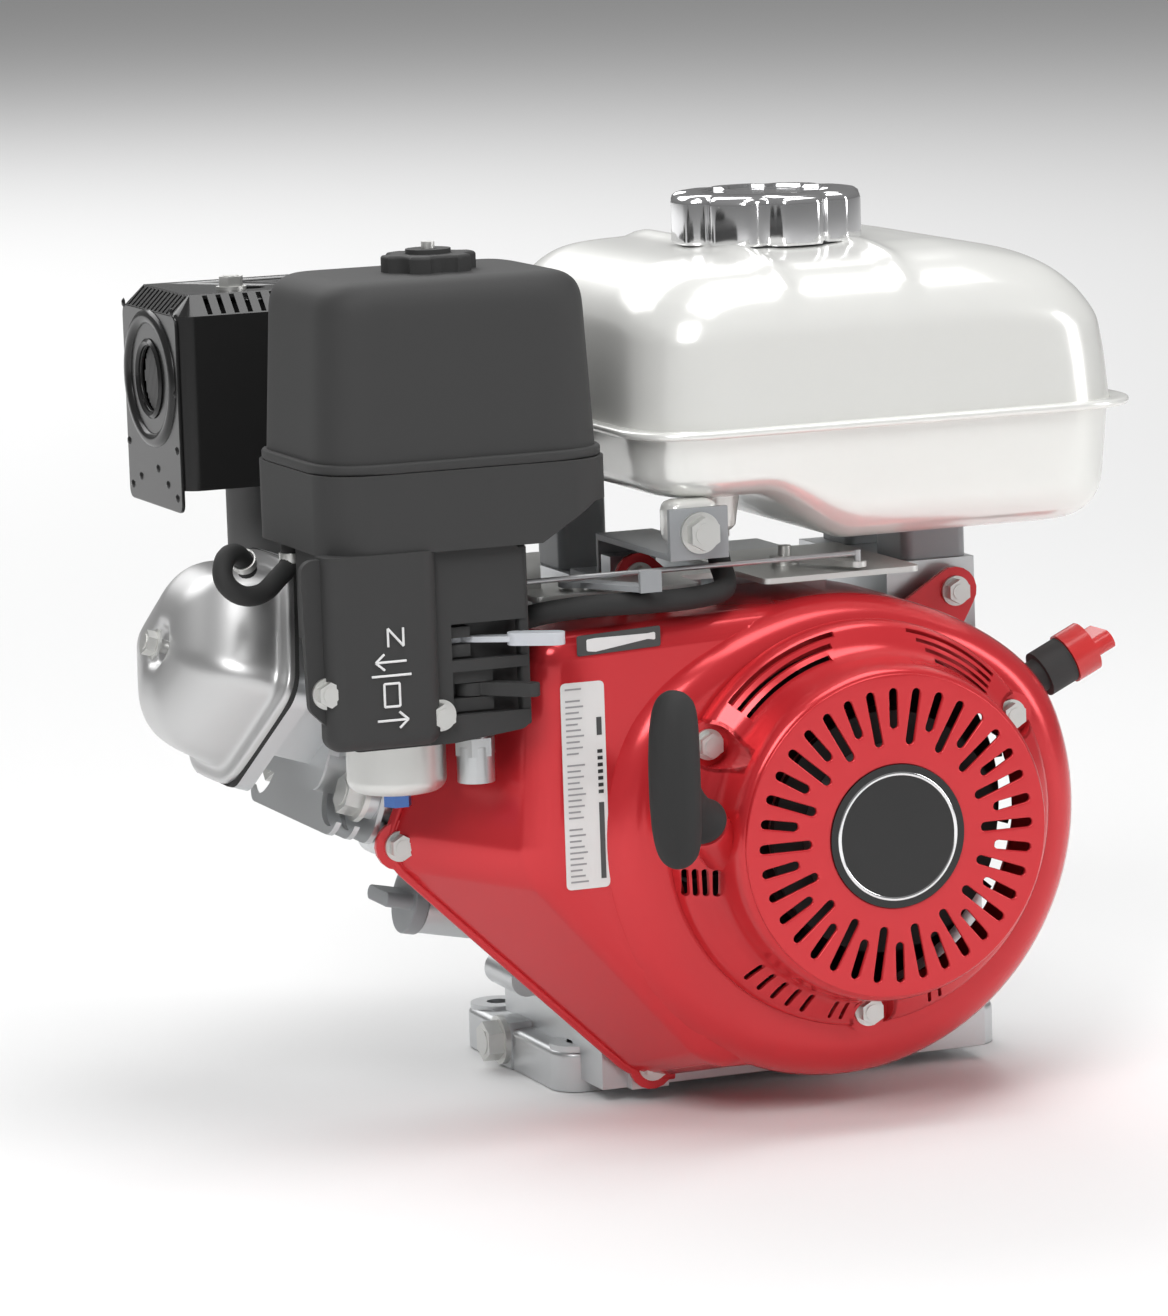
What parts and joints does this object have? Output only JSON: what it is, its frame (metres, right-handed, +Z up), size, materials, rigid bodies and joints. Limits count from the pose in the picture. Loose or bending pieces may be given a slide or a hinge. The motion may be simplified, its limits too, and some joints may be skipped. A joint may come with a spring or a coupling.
{
  "type": "small gasoline engine",
  "caption": "Air-cooled horizontal-shaft gasoline engine with inclined cylinder, recoil starter, fuel tank, air cleaner, muffler and keyed output shaft.",
  "frame": {"origin": "centre of the base bolt pattern, on the underside of the base", "axes": "+X to the right as seen from the starter side, +Y along the output shaft and out of it, +Z up"},
  "size_m": [0.4404, 0.385, 0.4095],
  "materials": {
    "cast_aluminium": "sand-cast, bead-blasted, satin",
    "red_enamel": "gloss",
    "tank_enamel": "gloss",
    "black_enamel": "gloss",
    "chrome": "polished",
    "pressed_steel": "polished pressed sheet",
    "zinc_plate": "zinc plated",
    "machined_steel": "ground",
    "cast_iron": "as cast, machined rim",
    "black_plastic": "fine texture",
    "grey_plastic": "satin",
    "red_plastic": "satin gloss",
    "black_rubber": "matte",
    "filter_paper": "pleated paper",
    "rope": "braided",
    "badge": "gloss",
    "blue_zinc": "blue passivated"
  },
  "bodies": {
    "engine": {"crankcase": "cast_aluminium", "crankcase_cover": "cast_aluminium", "bearings_and_seal": "machined_steel", "crank_and_wrist_pins": "machined_steel", "connecting_rod": "cast_aluminium", "piston": "cast_aluminium", "piston_rings": "cast_iron", "cylinder_liner": "cast_iron", "cylinder_head": "cast_aluminium", "spark_plug": "zinc_plate", "valves_and_springs": "machined_steel", "head_cover_gasket": "black_rubber", "head_cover": "pressed_steel", "ignition_coil": "black_plastic", "fan_cover": "red_enamel", "switch_barrel": "black_plastic", "recoil_housing": "red_enamel", "badge_disc": "badge", "rewind_spring": "machined_steel", "tank_top": "tank_enamel", "tank_bottom": "tank_enamel", "tank_brackets": "zinc_plate", "air_cleaner_case": "black_plastic", "air_cleaner_cover": "black_plastic", "air_filter": "filter_paper", "cover_stud": "zinc_plate", "carburetor": "cast_aluminium", "float_bowl": "cast_aluminium", "bowl_bolt": "blue_zinc", "sediment_cup": "zinc_plate", "insulator": "black_plastic", "intake_elbow": "black_plastic", "control_plate": "zinc_plate", "muffler_body": "black_enamel", "muffler_guard": "black_enamel", "exhaust_pipe": "cast_iron", "fuel_hose": "black_rubber", "breather_tube": "black_rubber", "flange_bolts": "zinc_plate"},
    "crank": {"crankshaft": "machined_steel", "flywheel": "cast_iron", "cooling_fan": "black_plastic", "starter_cup": "zinc_plate"},
    "cam": {"camshaft": "cast_iron"},
    "reel": {"rope_reel": "black_plastic", "wound_rope": "rope", "ratchet_pawls": "zinc_plate"},
    "grip": {"starter_grip": "black_rubber", "starter_rope": "rope"},
    "choke": {"choke_lever": "grey_plastic"},
    "fuel_valve": {"fuel_valve_lever": "black_plastic"},
    "control": {"control_lever": "grey_plastic"},
    "governor": {"governor_arm": "zinc_plate"},
    "linkage": {"governor_rod": "zinc_plate"},
    "throttle": {"throttle_lever": "zinc_plate"},
    "ignition_switch": {"switch_knob": "red_plastic"},
    "tank_cap": {"fuel_cap": "chrome"},
    "filler_cap": {"oil_cap": "grey_plastic"},
    "filter_knob": {"cleaner_knob": "black_plastic"}
  },
  "joints": [
    {"name": "crank_spin", "type": "hinge", "parent": "engine", "child": "crank", "pos_m": [-0.0055, -0.0515, 0.133], "axis": [0, 1, 0], "continuous": true},
    {"name": "cam_spin", "type": "hinge", "parent": "engine", "child": "cam", "pos_m": [-0.04793, -0.0515, 0.09057], "axis": [0, 1, 0], "continuous": true},
    {"name": "grip_pull", "type": "slide", "parent": "engine", "child": "grip", "axis": [-0.5549, -0.5993, 0.5771], "range_m": [0, 0.6]},
    {"name": "reel_spin", "type": "hinge", "parent": "engine", "child": "reel", "pos_m": [-0.0055, -0.0515, 0.133], "axis": [0, 1, 0], "range_deg": [0, 725.7]},
    {"name": "choke_turn", "type": "hinge", "parent": "engine", "child": "choke", "pos_m": [-0.1905, -0.1555, 0.23], "axis": [0, 0, 1], "range_deg": [-50, 0]},
    {"name": "fuel_valve_turn", "type": "hinge", "parent": "engine", "child": "fuel_valve", "pos_m": [-0.1835, -0.1575, 0.208], "axis": [0, 0, 1], "range_deg": [-60, 0]},
    {"name": "control_turn", "type": "hinge", "parent": "engine", "child": "control", "pos_m": [-0.1235, -0.1355, 0.246], "axis": [0, 0, 1], "range_deg": [-40, 25]},
    {"name": "governor_turn", "type": "hinge", "parent": "engine", "child": "governor", "pos_m": [-0.0145, -0.1155, 0.246], "axis": [0, 0, 1], "range_deg": [-20, 12]},
    {"name": "throttle_turn", "type": "hinge", "parent": "engine", "child": "throttle", "pos_m": [-0.1895, -0.1155, 0.246], "axis": [0, 0, 1], "range_deg": [-20, 12]},
    {"name": "rod_turn", "type": "hinge", "parent": "governor", "child": "linkage", "pos_m": [0.0055, -0.1515, 0.25], "axis": [0, 0, 1], "range_deg": [-12, 20]},
    {"name": "switch_turn", "type": "hinge", "parent": "engine", "child": "ignition_switch", "pos_m": [0.0975, -0.1295, 0.181], "axis": [0.9063, 0, 0.4226], "range_deg": [0, 60]},
    {"name": "tank_cap_turn", "type": "hinge", "parent": "engine", "child": "tank_cap", "pos_m": [0.0025, -0.0655, 0.395], "axis": [0, 0, 1], "range_deg": [0, 90]},
    {"name": "filler_cap_turn", "type": "hinge", "parent": "engine", "child": "filler_cap", "pos_m": [-0.1655, -0.0315, 0.0906], "axis": [-0.9781, 0, 0.2079], "range_deg": [0, 180]},
    {"name": "filter_knob_turn", "type": "hinge", "parent": "engine", "child": "filter_knob", "pos_m": [-0.1815, -0.1195, 0.39], "axis": [0, 0, 1], "continuous": true}
  ],
  "couplings": [
    {"joint": "cam_spin", "follows": "crank_spin", "ratio": -0.5},
    {"joint": "reel_spin", "follows": "grip_pull", "rad_per_m": 21.053},
    {"joint": "throttle_turn", "follows": "governor_turn", "ratio": 1},
    {"joint": "rod_turn", "follows": "governor_turn", "ratio": -1}
  ]
}
